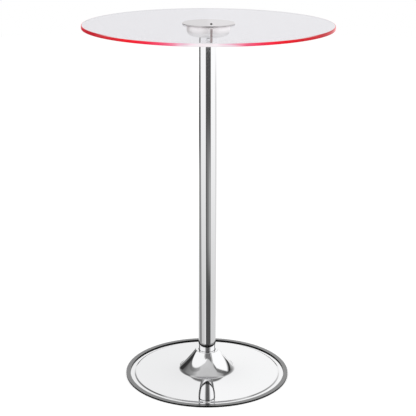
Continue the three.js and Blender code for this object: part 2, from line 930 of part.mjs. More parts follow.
place('red_lead', holderLead(1), redLead, turnedGroup(rightLeadAngle));
place('black_lead', holderLead(-1), blackLead, turnedGroup(leftLeadAngle));
place('switch_lead', switchLead(), redLead, turnedGroup(frontLeadAngle));

export default table;
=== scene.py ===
# The looks of a bar-height table with a light-up glass top. Metres, in the frame of the part: the origin is
# on the floor on the column's axis, and -Y is the front.
import json
import math

import bmesh
import bpy
from mathutils import Matrix, Vector


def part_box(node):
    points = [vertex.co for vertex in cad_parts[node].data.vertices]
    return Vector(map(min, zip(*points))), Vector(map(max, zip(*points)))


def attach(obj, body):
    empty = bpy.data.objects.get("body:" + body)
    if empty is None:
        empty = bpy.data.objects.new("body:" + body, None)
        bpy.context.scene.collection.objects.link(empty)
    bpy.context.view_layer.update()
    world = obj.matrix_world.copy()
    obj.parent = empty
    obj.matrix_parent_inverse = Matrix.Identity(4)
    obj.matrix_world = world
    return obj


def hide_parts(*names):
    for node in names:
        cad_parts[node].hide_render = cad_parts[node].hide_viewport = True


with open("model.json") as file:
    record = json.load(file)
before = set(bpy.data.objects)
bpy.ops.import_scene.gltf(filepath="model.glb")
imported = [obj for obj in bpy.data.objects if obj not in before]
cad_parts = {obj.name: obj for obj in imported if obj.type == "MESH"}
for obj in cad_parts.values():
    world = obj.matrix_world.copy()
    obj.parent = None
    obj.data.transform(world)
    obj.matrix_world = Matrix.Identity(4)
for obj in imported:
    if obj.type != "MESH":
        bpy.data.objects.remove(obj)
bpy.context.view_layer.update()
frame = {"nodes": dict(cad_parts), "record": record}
MM = 0.001


# Node graphs

class Graph:
    """A node tree that is written as calls. A value is a number, a colour or another node's socket."""

    def __init__(self, tree):
        self.tree = tree
        tree.nodes.clear()

    def put(self, socket, value):
        if isinstance(value, bpy.types.NodeSocket):
            self.tree.links.new(value, socket)
        elif value is not None:
            socket.default_value = value

    def node(self, kind, inputs=(), **settings):
        made = self.tree.nodes.new(kind)
        for name, value in settings.items():
            setattr(made, name, value)
        for name, value in dict(inputs).items():
            self.put(made.inputs[name], value)
        return made

    def math(self, operation, a, b=None):
        return self.node("ShaderNodeMath", {0: a, 1: b}, operation=operation).outputs[0]

    def times(self, a, b):
        return self.math("MULTIPLY", a, b)

    def step(self, value, low, high, out_low=0.0, out_high=1.0):
        """Eases from out_low to out_high while the value goes from low to high."""
        inputs = {"Value": value, "From Min": low, "From Max": high, "To Min": out_low, "To Max": out_high}
        return self.node("ShaderNodeMapRange", inputs, interpolation_type="SMOOTHSTEP").outputs[0]

    def fall(self, value, low, high):
        return self.step(value, low, high, 1.0, 0.0)

    def window(self, value, low, high, soft):
        """1 between low and high, with soft edges."""
        rising = self.step(value, low - soft / 2, low + soft / 2)
        falling = self.fall(value, high - soft / 2, high + soft / 2)
        return self.times(rising, falling)

    def blend(self, factor, a, b):
        made = self.node("ShaderNodeMix", data_type="FLOAT")
        self.put(made.inputs[0], factor)
        self.put(made.inputs[2], a)
        self.put(made.inputs[3], b)
        return made.outputs[0]

    def tint(self, factor, a, b):
        """A blend of two colours."""
        made = self.node("ShaderNodeMix", data_type="RGBA")
        self.put(made.inputs[0], factor)
        self.put(made.inputs[6], a)
        self.put(made.inputs[7], b)
        return made.outputs[2]

    def ramp(self, value, reach, zero, stops):
        """Colours at given values. The ramp is a reach long, and 0 lies at the share zero of it."""
        share = self.math("ADD", self.math("DIVIDE", value, reach), zero)
        made = self.node("ShaderNodeValToRGB", {"Fac": share})
        elements = made.color_ramp.elements
        while len(elements) < len(stops):
            elements.new(0.5)
        for element, (at, color) in zip(elements, stops):
            element.position = at / reach + zero
            element.color = (*color, 1.0)
        return made.outputs[0]

    def place(self):
        return self.node("ShaderNodeTexCoord").outputs["Object"]

    def split(self, vector):
        return self.node("ShaderNodeSeparateXYZ", {0: vector}).outputs

    def turn(self, x, y):
        """Degrees from the front towards the right."""
        return self.math("DEGREES", self.math("ARCTAN2", x, self.times(y, -1.0)))

    def noise(self, scale, detail=2.0, roughness=0.5):
        inputs = {"Vector": self.place(), "Scale": scale, "Detail": detail, "Roughness": roughness}
        return self.node("ShaderNodeTexNoise", inputs).outputs["Fac"]

    def bump(self, height, strength, distance):
        inputs = {"Height": height, "Strength": strength, "Distance": distance}
        return self.node("ShaderNodeBump", inputs).outputs[0]

    def mix_shaders(self, factor, a, b):
        return self.node("ShaderNodeMixShader", {0: factor, 1: a, 2: b}).outputs[0]


def rgb(r, g, b):
    """A colour that is written as the 0 to 255 values it is seen as."""
    def linear(c):
        c /= 255
        return c / 12.92 if c <= 0.04045 else ((c + 0.055) / 1.055) ** 2.4
    return (linear(r), linear(g), linear(b), 1.0)


def material(name):
    made = bpy.data.materials.new(name)
    made.use_nodes = True
    return made, Graph(made.node_tree)


def surface(graph, shader):
    output = graph.node("ShaderNodeOutputMaterial")
    graph.tree.links.new(shader, output.inputs["Surface"])


def principled(graph, **inputs):
    names = {key.replace("_", " ").title().replace("Ior", "IOR"): value for key, value in inputs.items()}
    return graph.node("ShaderNodeBsdfPrincipled", names).outputs[0]


# Materials

WHITE = (1.0, 1.0, 1.0, 1.0)
CHROME_COLOR = (0.93, 0.932, 0.94, 1.0)
# The cap's chrome is painted pinker and darker than the plain chrome: a painted pink reflection and painted
# shade.
CAP_PAINTED_REFLECTION_COLOR = (0.565, 0.532, 0.553, 1.0)
# The chrome of the cap's rim and underside is painted darker than the plain chrome, as painted shade in the
# gap under the cap.
RIM_PAINTED_SHADE_COLOR = (0.78, 0.75, 0.76, 1.0)
BUFFING = 260.0


def buffed(g, color, roughness, **glow):
    """Metal with a very shallow waviness."""
    waves = g.bump(g.noise(14.0, detail=1.0), strength=0.25, distance=0.00002)
    return principled(g, base_color=color, metallic=1.0, roughness=roughness, normal=waves, **glow)


def polished(name, color, low, high):
    """Plated metal: faint buffing marks and slow clouds in its roughness."""
    made, g = material(name)
    marks = g.noise(BUFFING, detail=4.0)
    cloud = g.noise(9.0, detail=3.0)
    mixed = g.math("ADD", g.times(marks, 0.5), g.times(cloud, 0.5))
    surface(g, buffed(g, color, g.step(mixed, 0.3, 0.7, low, high)))
    return made


def plain_metal(name, color, dark, low, high, grain=420.0):
    """Zinc-plated or raw steel and aluminium: fine grain with darker patches."""
    made, g = material(name)
    fine = g.noise(grain, detail=5.0, roughness=0.65)
    patch = g.noise(38.0, detail=3.0)
    shader = principled(
        g,
        base_color=g.tint(g.step(patch, 0.35, 0.7), color, dark),
        metallic=1.0,
        roughness=g.step(fine, 0.25, 0.75, low, high),
        normal=g.bump(fine, strength=0.35, distance=0.00008),
    )
    surface(g, shader)
    return made


def moulded(name, color, shade, low, high, grain=900.0, depth=0.00006, coat=0.0, ior=1.5):
    """Moulded plastic or rubber: a fine spark-eroded grain and a slow change of shade."""
    made, g = material(name)
    fine = g.noise(grain, detail=3.0, roughness=0.6)
    slow = g.noise(30.0)
    shader = principled(
        g,
        base_color=g.tint(g.step(slow, 0.3, 0.7), color, shade),
        roughness=g.step(fine, 0.3, 0.7, low, high),
        ior=ior,
        coat_weight=coat,
        normal=g.bump(fine, strength=0.4, distance=depth),
    )
    surface(g, shader)
    return made


def edge_rubber(name, color, shade, low, high, ior):
    return moulded(name, color, shade, low, high, grain=700.0, depth=0.00001, ior=ior)


def wire_sleeve(name, color, shade):
    return moulded(name, color, shade, 0.35, 0.5, grain=500.0, depth=0.00002, coat=0.2)


def board_finish():
    """Circuit board: green solder mask, which is paler over the copper tracks."""
    made, g = material("circuit_board")
    flattened = (1.0, 1.0, 0.001)
    place = g.node("ShaderNodeMapping", {"Vector": g.place(), "Scale": flattened}).outputs[0]
    tracks = {"Vector": place, "Scale": 110.0, "Mortar Size": 0.06, "Brick Width": 1.3, "Row Height": 0.35}
    brick = g.node("ShaderNodeTexBrick", tracks).outputs["Fac"]
    speck = g.step(g.noise(700.0), 0.62, 0.7)
    green = g.tint(g.times(brick, 0.8), rgb(24, 78, 46), rgb(52, 116, 62))
    shader = principled(
        g,
        base_color=g.tint(g.times(speck, 0.35), green, rgb(176, 182, 168)),
        roughness=0.38,
        coat_weight=0.4,
        normal=g.bump(brick, strength=0.3, distance=0.00005),
    )
    surface(g, shader)
    return made


def clear_glass():
    """Float glass with a barely lilac body and faint wipe marks. Its glare is cut down, as by a polarising
    filter."""
    made, g = material("float_glass")
    index, kept_glare = 1.5, 0.4
    lilac = (0.886, 0.882, 0.900, 1.0)
    wipe = g.noise(22.0, detail=5.0, roughness=0.7)
    roughness = g.step(wipe, 0.4, 0.75, 0.0, 0.012)
    glare = g.times(g.node("ShaderNodeFresnel", {"IOR": index}).outputs[0], kept_glare)
    through = g.node("ShaderNodeBsdfRefraction", {"Color": lilac, "Roughness": roughness, "IOR": index})
    mirror = g.node("ShaderNodeBsdfGlossy", {"Color": WHITE, "Roughness": roughness})
    surface(g, g.mix_shaders(glare, through.outputs[0], mirror.outputs[0]))
    return made


def glowing_edge():
    """The lit edge of the glass: white-hot where its light comes straight out at the front, and red further
    round. The arris on top has a painted pale reflection at the front. The edge shines outward only, as
    light does that leaves the glass."""
    made, g = material("glass_edge_glow")
    hot, pale, body = (0.95, 0.92, 0.94, 1.0), (0.80, 0.80, 0.82, 1.0), (0.90, 0.895, 0.91, 1.0)
    stops = [
        (0, (0.94, 0.88, 0.90)),
        (4, (0.94, 0.85, 0.90)),
        (7, (0.93, 0.67, 0.78)),
        (10, (0.93, 0.48, 0.64)),
        (13, (0.93, 0.285, 0.42)),
        (16, (0.93, 0.16, 0.275)),
        (20, (0.94, 0.07, 0.155)),
        (26, (0.94, 0.022, 0.06)),
        (34, (0.92, 0.009, 0.022)),
        (44, (0.69, 0.013, 0.024)),
        (60, (0.55, 0.016, 0.028)),
        (110, (0.60, 0.02, 0.05)),
        (180, (0.70, 0.03, 0.07)),
    ]
    x, y, z = g.split(g.place())
    turn = g.turn(x, y)
    off_centre = 0.75
    around = g.math("ABSOLUTE", g.math("ADD", turn, off_centre))
    hue = g.ramp(around, 180, 0.0, stops)

    # The height goes from 0 at the plate's underside to 1 at its top
    low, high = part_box("glass_top")
    height = g.step(z, low.z, high.z)
    flicker = g.step(g.noise(34.0), 0.3, 0.7, 0.9, 1.0)
    strength = g.times(g.step(height, 0.0, 0.35, 0.9, 1.0), flicker)
    white_hot = g.times(g.step(height, 0.3, 0.6, 0.65, 0.0), g.window(turn, -12, 12, 8))
    toward_front = g.fall(g.math("ABSOLUTE", turn), 40, 58)
    # The pale arris at the front is a painted reflection of the white room.
    arris = g.times(g.step(height, 0.90, 0.94), toward_front)
    lit = principled(
        g,
        base_color=(0.02, 0.001, 0.002, 1.0),
        roughness=0.12,
        ior=1.25,
        specular_ior_level=0.3,
        emission_color=g.tint(arris, g.tint(white_hot, hue, hot), pale),
        emission_strength=strength,
    )
    inside = g.node("ShaderNodeNewGeometry").outputs["Backfacing"]
    clear = g.node("ShaderNodeBsdfTransparent", {"Color": body}).outputs[0]
    surface(g, g.mix_shaders(inside, lit, clear))
    return made


def light_finish():
    made, g = material("light_package")
    grain = g.noise(1500.0)
    shader = principled(
        g,
        base_color=g.tint(grain, rgb(255, 190, 196), rgb(255, 150, 160)),
        roughness=0.3,
        emission_color=(1.0, 0.16, 0.22, 1.0),
        emission_strength=2.0,
    )
    surface(g, shader)
    return made


def lens_finish():
    made, g = material("infrared_lens_plastic")
    cloud = g.noise(400.0)
    shader = principled(
        g,
        base_color=g.tint(cloud, rgb(46, 22, 26), rgb(30, 18, 22)),
        roughness=0.08,
        coat_weight=0.6,
    )
    surface(g, shader)
    return made


def painted_red_reflection(g):
    """A painted reflection: a thin upright dark red line on polished metal, to the right of the front: 1 in
    the line. It goes from just below the cup's rim to where the column comes out from behind the glass."""
    left, right, bottom, top = 0.0050, 0.0110, 0.985, 1.0285
    x, y, z = g.split(g.place())
    width = g.window(x, left, right, 0.0014)
    front = g.fall(y, -0.010, -0.005)
    return g.times(g.times(width, front), g.window(z, bottom, top, 0.002))


def column_finish():
    """The chrome of the column, with a painted dark red reflection line at its top."""
    made, g = material("chrome_plate_column")
    dark_red = (0.12, 0.025, 0.02, 1.0)
    marks = g.noise(BUFFING, detail=4.0)
    # The dark red line on the column is a painted reflection.
    color = g.tint(painted_red_reflection(g), CHROME_COLOR, dark_red)
    surface(g, buffed(g, color, g.step(marks, 0.3, 0.7, 0.015, 0.05)))
    return made


def cup_finish():
    """Satin chrome that the ring of lights shines on, most of all near the cup's rim. This shine stays where
    the lights are when the cup is pulled down."""
    made, g = material("satin_chrome_cup")
    satin, dark_red = (0.97, 0.965, 0.96, 1.0), (0.06, 0.004, 0.002, 1.0)
    warm, red = (1.0, 0.89, 0.87, 1.0), (1.0, 0.05, 0.03, 1.0)
    warm_strength, red_strength = 0.38, 0.04
    low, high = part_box("hub_cup")
    reach = high.z - low.z
    height = g.split(g.node("ShaderNodeNewGeometry").outputs["Position"])[2]
    lit = g.step(height, low.z + 0.2 * reach, low.z + 0.85 * reach, 0.0, warm_strength)
    # The dark red line on the cup is a painted reflection that also glows faintly red.
    line = painted_red_reflection(g)
    marks = g.noise(BUFFING, detail=4.0)
    shader = buffed(
        g,
        g.tint(line, satin, dark_red),
        g.step(marks, 0.3, 0.7, 0.37, 0.43),
        emission_color=g.tint(line, warm, red),
        emission_strength=g.blend(line, lit, red_strength),
    )
    surface(g, shader)
    return made


CHROME = polished("chrome_plate", CHROME_COLOR, 0.015, 0.05)
CAP_CHROME = polished("chrome_plate_cap", CAP_PAINTED_REFLECTION_COLOR, 0.05, 0.10)
RIM_CHROME = polished("chrome_plate_rim", RIM_PAINTED_SHADE_COLOR, 0.015, 0.04)
CUP_CHROME = cup_finish()
COLUMN_CHROME = column_finish()
ZINC = plain_metal("zinc_plated_steel", rgb(178, 181, 184), rgb(140, 144, 150), 0.22, 0.42)
STEEL = plain_metal("raw_steel", rgb(112, 114, 118), rgb(72, 70, 70), 0.4, 0.65, grain=180.0)
ALUMINIUM = plain_metal("spun_aluminium", rgb(205, 207, 210), rgb(180, 183, 188), 0.28, 0.42)
RUBBER = moulded("black_rubber", rgb(24, 24, 26), rgb(34, 33, 35), 0.6, 0.85)
# The ring is black rubber. Its side is painted darker still as painted shade, and its top is painted lighter
# as painted light; the top's polish is real.
EDGE = edge_rubber("edge_rubber", rgb(4, 4, 5), rgb(7, 7, 8), 0.3, 0.42, 1.15)
EDGE_FACE_PAINTED_LIGHT = edge_rubber("edge_rubber_polished_painted_light_face", rgb(30, 30, 32), rgb(40, 40, 42), 0.08, 0.14, 2.8)
CLEAR_RUBBER = moulded("clear_rubber", rgb(222, 206, 198), rgb(206, 190, 184), 0.35, 0.55)
# Clear rubber painted darker: painted shade in the gap between the glass and the cap.
GAP_PAINTED_SHADE_RUBBER = moulded(
    "clear_rubber_with_painted_shade", rgb(92, 80, 76), rgb(78, 68, 64), 0.5, 0.65, depth=0.00002
)
PLASTIC = moulded("black_plastic", rgb(30, 30, 33), rgb(40, 40, 43), 0.35, 0.55)
STRIP = moulded("white_strip", rgb(232, 228, 222), rgb(214, 210, 204), 0.4, 0.6)
BOARD = board_finish()
RED = wire_sleeve("red_sleeve", rgb(182, 34, 40), rgb(150, 24, 30))
BLACK = wire_sleeve("black_sleeve", rgb(30, 30, 32), rgb(44, 44, 46))
LENS = lens_finish()
LIGHT = light_finish()
CELL = moulded(
    "cell_sleeve", rgb(120, 124, 130), rgb(96, 100, 106), 0.3, 0.42, grain=160.0, depth=0.00003, coat=0.3
)
GLASS = clear_glass()
GLOW = glowing_edge()

SLOT_MATERIALS = {
    "chrome": CHROME,
    "clear_glass": GLASS,
    "zinc_steel": ZINC,
    "dark_steel": STEEL,
    "aluminium": ALUMINIUM,
    "black_rubber": RUBBER,
    "clear_rubber": CLEAR_RUBBER,
    "black_plastic": PLASTIC,
    "dark_lens": LENS,
    "strip_white": STRIP,
    "light": LIGHT,
    "board_green": BOARD,
    "cell_wrap": CELL,
    "red_sleeve": RED,
    "black_sleeve": BLACK,
}


# Meshes

SHARP_ANGLE = 30.0


def arc(centre, radius, start, end, steps):
    """Points on an arc in the radius-height plane, angles in degrees."""
    angles = [math.radians(start + (end - start) * i / steps) for i in range(steps + 1)]
    return [(centre[0] + radius * math.cos(a), centre[1] + radius * math.sin(a)) for a in angles]


def offset(path, wall):
    """Moves an open path to its left by the wall, mitred at its corners."""
    moved = []
    for i, point in enumerate(path):
        p = Vector(point)
        into = (p - Vector(path[i - 1])).normalized() if i else None
        out = (Vector(path[i + 1]) - p).normalized() if i + 1 < len(path) else into
        into = into or out
        along = (into + out).normalized()
        reach = wall / along.dot(into)
        moved.append((p.x - along.y * reach, p.y + along.x * reach))
    return moved


def sheet(path, wall):
    """The closed outline of a sheet whose one side is the path."""
    return path + offset(path, wall)[::-1]


def eased(path, reach, steps=5):
    """Rounds the corners of an open path. A rounding starts at most a reach away from its corner."""
    most_of_side = 0.45
    made = [path[0]]
    for i in range(1, len(path) - 1):
        corner = Vector(path[i])
        before, after = Vector(path[i - 1]) - corner, Vector(path[i + 1]) - corner
        start = corner + before.normalized() * min(reach, before.length * most_of_side)
        end = corner + after.normalized() * min(reach, after.length * most_of_side)
        for k in range(steps + 1):
            share = k / steps
            rest = 1 - share
            point = start * rest ** 2 + corner * 2 * share * rest + end * share ** 2
            made.append(tuple(point))
    made.append(path[-1])
    return made


def finished(name, bm, materials, sharp=SHARP_ANGLE):
    bmesh.ops.recalc_face_normals(bm, faces=bm.faces)
    mesh = bpy.data.meshes.new(name)
    bm.to_mesh(mesh)
    bm.free()
    for each in materials:
        mesh.materials.append(each)
    mesh.shade_smooth()
    mesh.set_sharp_from_angle(angle=math.radians(sharp))
    made = bpy.data.objects.new(name, mesh)
    bpy.context.scene.collection.objects.link(made)
    return made


def ring(bm, radius, height, sides):
    """The corners of one turn of a lathe, or its single corner on the axis. Millimetres."""
    if radius == 0:
        return [bm.verts.new((0.0, 0.0, height * MM))]
    corners = []
    for k in range(sides):
        angle = 2 * math.pi * k / sides
        place = (radius * MM * math.sin(angle), -radius * MM * math.cos(angle), height * MM)
        corners.append(bm.verts.new(place))
    return corners


def lathe(name, outline, sides, materials, which=None, sharp=SHARP_ANGLE):
    """Turns a closed outline of (radius, height) in millimetres about +Z. Its stretches are counted from 0,
    and which gives the material of each."""
    bm = bmesh.new()
    rings = [ring(bm, radius, height, sides) for radius, height in outline]
    for i, first in enumerate(rings):
        second = rings[(i + 1) % len(rings)]
        if len(first) == 1 and len(second) == 1:
            continue
        for k in range(sides):
            n = (k + 1) % sides
            near = [first[k % len(first)], first[n % len(first)]]
            far = [second[n % len(second)], second[k % len(second)]]
            face = bm.faces.new(list(dict.fromkeys(near + far)))
            face.material_index = which(i) if which else 0
    return finished(name, bm, materials, sharp)


def tube(name, inner, outer, low, high, sides, finish, ease=0.2):
    """A plain ring with its outer edges broken. Millimetres."""
    outline = [
        (inner, low),
        (outer - ease, low),
        (outer, low + ease),
        (outer, high - ease),
        (outer - ease, high),
        (inner, high),
    ]
    return lathe(name, outline, sides, [finish])


def pierce(piece, x, y, radius, low, high):
    """Cuts a round hole through a piece, along +Z. Millimetres."""
    bm = bmesh.new()
    bmesh.ops.create_cone(
        bm,
        cap_ends=True,
        segments=48,
        radius1=radius * MM,
        radius2=radius * MM,
        depth=(high - low) * MM,
        matrix=Matrix.Translation((x * MM, y * MM, (low + high) / 2 * MM)),
    )
    tool = finished(piece.name + "_tool", bm, [])
    cutter = piece.modifiers.new("hole", "BOOLEAN")
    cutter.operation = "DIFFERENCE"
    cutter.solver = "EXACT"
    cutter.object = tool
    graph = bpy.context.evaluated_depsgraph_get()
    mesh = bpy.data.meshes.new_from_object(piece.evaluated_get(graph))
    piece.modifiers.clear()
    piece.data = mesh
    bpy.data.objects.remove(tool)
    piece.data.set_sharp_from_angle(angle=math.radians(SHARP_ANGLE))


def dress(piece, body, node):
    """Lets a piece stand for a CAD node."""
    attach(piece, body)
    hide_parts(node)


def heights(node):
    """A node's lowest and highest height in millimetres."""
    low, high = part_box(node)
    return low.z / MM, high.z / MM


# Sizes that are repeated from the part's source, in millimetres

GLASS_LOW, GLASS_HIGH = heights("glass_top")
GLASS_RADIUS = 350.0
FLANGE_TOP = heights("hub_flange")[1]
UPPER_GASKET_HEIGHT = 0.8
CAP_HEIGHT = 2.2
CAP_LOW = GLASS_HIGH + UPPER_GASKET_HEIGHT
CAP_HIGH = CAP_LOW + CAP_HEIGHT
COLUMN_LOW, COLUMN_HIGH = heights("column_tube")
COLUMN_RADIUS = 25.4
COLUMN_WALL = 1.5
COLUMN_GASKET_HEIGHT = 2.6
NECK_TOP = COLUMN_LOW - COLUMN_GASKET_HEIGHT
NECK_RADIUS = 24.7
EYE = (7.6, -28.0)
EYE_HOLE = 3.6
BUTTON = (0.0, -36.0)
BUTTON_HOLE = 5.4

# Sides of the turned pieces
BASE_SIDES = 288
COLUMN_SIDES = 128
GASKET_SIDES = 96
GLASS_SIDES = 360
HUB_SIDES = 192
EYE_SIDES = 48


# Base cover and the ring round its edge

def cover_top():
    """The cover's upper side from its edge inwards: the flat band, a small step up to the plate, the plate,
    the knee, the cone and the hole round the neck."""
    band, step_foot, step_top, plate = 229.0, 217.5, 213.0, 207.0
    band_height, plate_height, step_ease = 1.8, 4.2, 0.8
    rim = [(band, band_height), (step_foot, band_height), (step_top, plate_height), (plate, plate_height)]
    path = eased(rim, step_ease)

    # The plate rises ever faster towards the knee
    start, knee, rise, steps = 205.0, 87.0, 10.0, 60
    for i in range(steps + 1):
        share = i / steps
        path.append((start + (knee - start) * share, plate_height + rise * share ** 3))
    slope = math.degrees(math.atan(3 * rise / (start - knee)))
    knee_round, foot_angle, top_angle = 18.0, 45.0, 55.0
    centre = (
        knee + knee_round * math.sin(math.radians(slope)),
        plate_height + rise + knee_round * math.cos(math.radians(slope)),
    )
    path += arc(centre, knee_round, -90 - slope, -90 - foot_angle, steps=16)[1:]

    # The cone steepens evenly from the knee to the shoulder
    shoulder, shoulder_round, neck_gap, steps = 33.2, 1.6, 1.2, 40
    foot = path[-1]
    low, spread = math.radians(foot_angle), math.radians(top_angle - foot_angle)

    def cone(share):
        bend = math.log(math.cos(low) / math.cos(low + spread * share)) / spread
        width = foot[0] - shoulder
        return (foot[0] - width * share, foot[1] + width * bend)

    top = cone(1.0)[1]
    path += [cone(i / steps) for i in range(1, steps - 1)]
    set_back = shoulder_round * math.tan(math.radians(top_angle / 2))
    centre = (shoulder - set_back, top - shoulder_round)
    path += arc(centre, shoulder_round, 90 - top_angle, 90, steps=8)
    path.append((NECK_RADIUS + neck_gap, top))
    return path


cover_wall = 1.0
cover = lathe("chrome_base_cover", sheet(cover_top(), cover_wall), BASE_SIDES, [CHROME])
dress(cover, "table", "base_cover")


def edge_ring_outline():
    """A raised ring with a thin lip that goes in under the cover."""
    lip_end, lip_top, inner, outer, top = 195.6, 0.5, 229.3, 242.0, 5.2
    ease, margin = 0.4, 1.0
    path = [
        (lip_end, lip_top),
        (lip_end, 0.0),
        (outer, 0.0),
        (outer, top),
        (inner, top),
        (inner, lip_top),
        (lip_end + margin, lip_top),
    ]
    return eased(path, ease)


def edge_ring_face(stretch):
    """The ring's top is polished, with both of its rounded edges, and painted lighter than the side: painted
    light on the top, painted shade on the side.
    """
    return 1 if 13 <= stretch <= 23 else 0


edge = lathe("edge_ring_rubber", edge_ring_outline(), BASE_SIDES, [EDGE, EDGE_FACE_PAINTED_LIGHT], edge_ring_face)
dress(edge, "table", "edge_ring")


# Column and the gasket at its foot

column = tube(
    "chrome_column",
    COLUMN_RADIUS - COLUMN_WALL,
    COLUMN_RADIUS,
    COLUMN_LOW,
    COLUMN_HIGH,
    COLUMN_SIDES,
    COLUMN_CHROME,
    ease=0.25,
)
dress(column, "table", "column_tube")

gasket_bore, gasket_slack = 23.8, 0.02
gasket = tube(
    "column_foot_gasket",
    gasket_bore,
    COLUMN_RADIUS,
    NECK_TOP + gasket_slack,
    COLUMN_LOW - gasket_slack,
    GASKET_SIDES,
    RUBBER,
)
dress(gasket, "table", "column_gasket")


# Glass plate with its lit edge, and the two clear gaskets that hold it

def glass_outline():
    arris, hole_arris, hole, margin = 2.0, 0.5, 43.0, 6.0
    inner = GLASS_RADIUS - arris
    return [
        (hole + hole_arris, GLASS_LOW),
        (inner - margin, GLASS_LOW),
        *arc((inner, GLASS_LOW + arris), arris, -90, 0, steps=5),
        *arc((inner, GLASS_HIGH - arris), arris, 0, 90, steps=5),
        (inner - margin, GLASS_HIGH),
        (hole + hole_arris, GLASS_HIGH),
        (hole, GLASS_HIGH - hole_arris),
        (hole, GLASS_LOW + hole_arris),
    ]


def lit_edge(stretch):
    """The edge is lit from its lower arris to its upper one."""
    return 1 if 2 <= stretch < 13 else 0


# This low angle keeps the shading smooth round the plate, but not over its edge
arris_sharp = 5.0
plate = lathe("glass_plate", glass_outline(), GLASS_SIDES, [GLASS, GLOW], lit_edge, arris_sharp)
dress(plate, "table", "glass_top")


def clear_gasket(name, inner, outer, low, high, finish, node):
    """A ring that is a hair thinner than the gap it lies in."""
    slack = 0.05
    made = tube(name, inner, outer, low + slack, high - slack, GASKET_SIDES, finish)
    dress(made, "table", node)


seat_bore, seat_radius = 45.0, 56.0
clear_gasket("glass_seat_ring", seat_bore, seat_radius, FLANGE_TOP, GLASS_LOW, CLEAR_RUBBER, "lower_gasket")
clamp_bore, clamp_radius = 46.0, 72.4
clear_gasket("glass_cap_ring", clamp_bore, clamp_radius, GLASS_HIGH, CAP_LOW, GAP_PAINTED_SHADE_RUBBER, "upper_gasket")


# Cap and the infrared eye in it

def cap_outline():
    """A thin disc with a threaded boss under its middle."""
    washer, nut, clearance, over_thread = 1.6, 5.0, 0.4, 2.4
    boss_foot = FLANGE_TOP + washer + nut + clearance
    roof = CAP_HIGH - over_thread
    thread, boss, radius, chamfer, rim_round = 5.2, 9.0, 73.6, 0.5, 1.6
    outer_turn, inner_turn = 71.0, 40.0
    return [
        (0.0, roof),
        (thread, roof),
        (thread, boss_foot),
        (boss, boss_foot),
        (boss, CAP_LOW),
        (radius - chamfer, CAP_LOW),
        (radius, CAP_LOW + chamfer),
        *arc((radius - rim_round, CAP_HIGH - rim_round), rim_round, 0, 90, steps=8),
        (outer_turn, CAP_HIGH),
        (inner_turn, CAP_HIGH),
        (0.0, CAP_HIGH),
    ]


def cap_rim(stretch):
    """The cap's underside and rim have a chrome of their own, painted darker than the plain chrome as
    painted shade.
    """
    return 1 if 4 <= stretch < 15 else 0


cap = lathe("chrome_cap", cap_outline(), HUB_SIDES, [CAP_CHROME, RIM_CHROME], cap_rim)
beyond = 2
pierce(cap, *EYE, EYE_HOLE, CAP_LOW - beyond, CAP_HIGH + beyond)
dress(cap, "table", "top_cap")


def eye_outline():
    """A dome on a short stem, with a flange under the cap."""
    radius, flange, flange_height, gap, dome, steps = 3.3, 4.3, 0.8, 0.3, 2.6, 12
    flange_top = CAP_LOW - gap
    flange_low = flange_top - flange_height
    outline = [(0.0, flange_low), (flange, flange_low), (flange, flange_top), (radius, flange_top)]
    for i in range(steps):
        angle = math.pi / 2 * i / steps
        outline.append((radius * math.cos(angle), CAP_HIGH + dome * math.sin(angle)))
    outline.append((0.0, CAP_HIGH + dome))
    return outline


eye = lathe("infrared_eye", eye_outline(), EYE_SIDES, [LENS])
eye.location = (EYE[0] * MM, EYE[1] * MM, 0.0)
dress(eye, "table", "infrared_lens")


# Hub cup

def cup_outline():
    """A round cup with a hole for the column in its floor, which rises a little outwards."""
    rim_gap, height, wall, rim_chamfer, wall_ring = 0.3, 32.4, 1.6, 0.4, 8.0
    grommet_gap, grommet_wall = 0.3, 1.5
    flat, floor_rise, foot_round = 44.0, 1.7, 16.0
    rim = GLASS_LOW - rim_gap
    foot = rim - height
    hole = COLUMN_RADIUS + grommet_gap + grommet_wall
    radius = flat + foot_round
    path = [
        (hole, foot),
        *arc((flat, foot + floor_rise + foot_round), foot_round, -90, 0, steps=24),
        (radius, rim - wall_ring),
        (radius, rim - rim_chamfer),
        (radius - rim_chamfer, rim),
    ]
    return sheet(path, wall)


cup = lathe("chrome_cup", cup_outline(), HUB_SIDES, [CUP_CHROME])
under_floor, over_floor = GLASS_LOW - 36.0, GLASS_LOW - 26.0
pierce(cup, *BUTTON, BUTTON_HOLE, under_floor, over_floor)
dress(cup, "cup", "hub_cup")


# CAD nodes that stay: a modifier shades them smooth, and each slot gets its finish

def smooth_group():
    """Geometry nodes that weld a CAD mesh and shade it smooth, apart from its sharp edges."""
    weld_distance, sharp_angle = 1e-6, 32.0
    tree = bpy.data.node_groups.new("smooth_by_angle", "GeometryNodeTree")
    tree.interface.new_socket("Geometry", in_out="INPUT", socket_type="NodeSocketGeometry")
    tree.interface.new_socket("Geometry", in_out="OUTPUT", socket_type="NodeSocketGeometry")
    new, link = tree.nodes.new, tree.links.new
    start, end = new("NodeGroupInput"), new("NodeGroupOutput")
    weld = new("GeometryNodeMergeByDistance")
    weld.inputs["Distance"].default_value = weld_distance
    faces = new("GeometryNodeSetShadeSmooth")
    faces.inputs["Shade Smooth"].default_value = True
    edges = new("GeometryNodeSetShadeSmooth")
    edges.domain = "EDGE"
    edges.inputs["Shade Smooth"].default_value = False
    angle = new("GeometryNodeInputMeshEdgeAngle")
    compare = new("FunctionNodeCompare")
    compare.data_type = "FLOAT"
    compare.operation = "GREATER_THAN"
    compare.inputs[1].default_value = math.radians(sharp_angle)
    link(start.outputs[0], weld.inputs[0])
    link(weld.outputs[0], faces.inputs[0])
    link(faces.outputs[0], edges.inputs[0])
    link(angle.outputs[0], compare.inputs[0])
    link(compare.outputs[0], edges.inputs["Selection"])
    link(edges.outputs[0], end.inputs[0])
    return tree


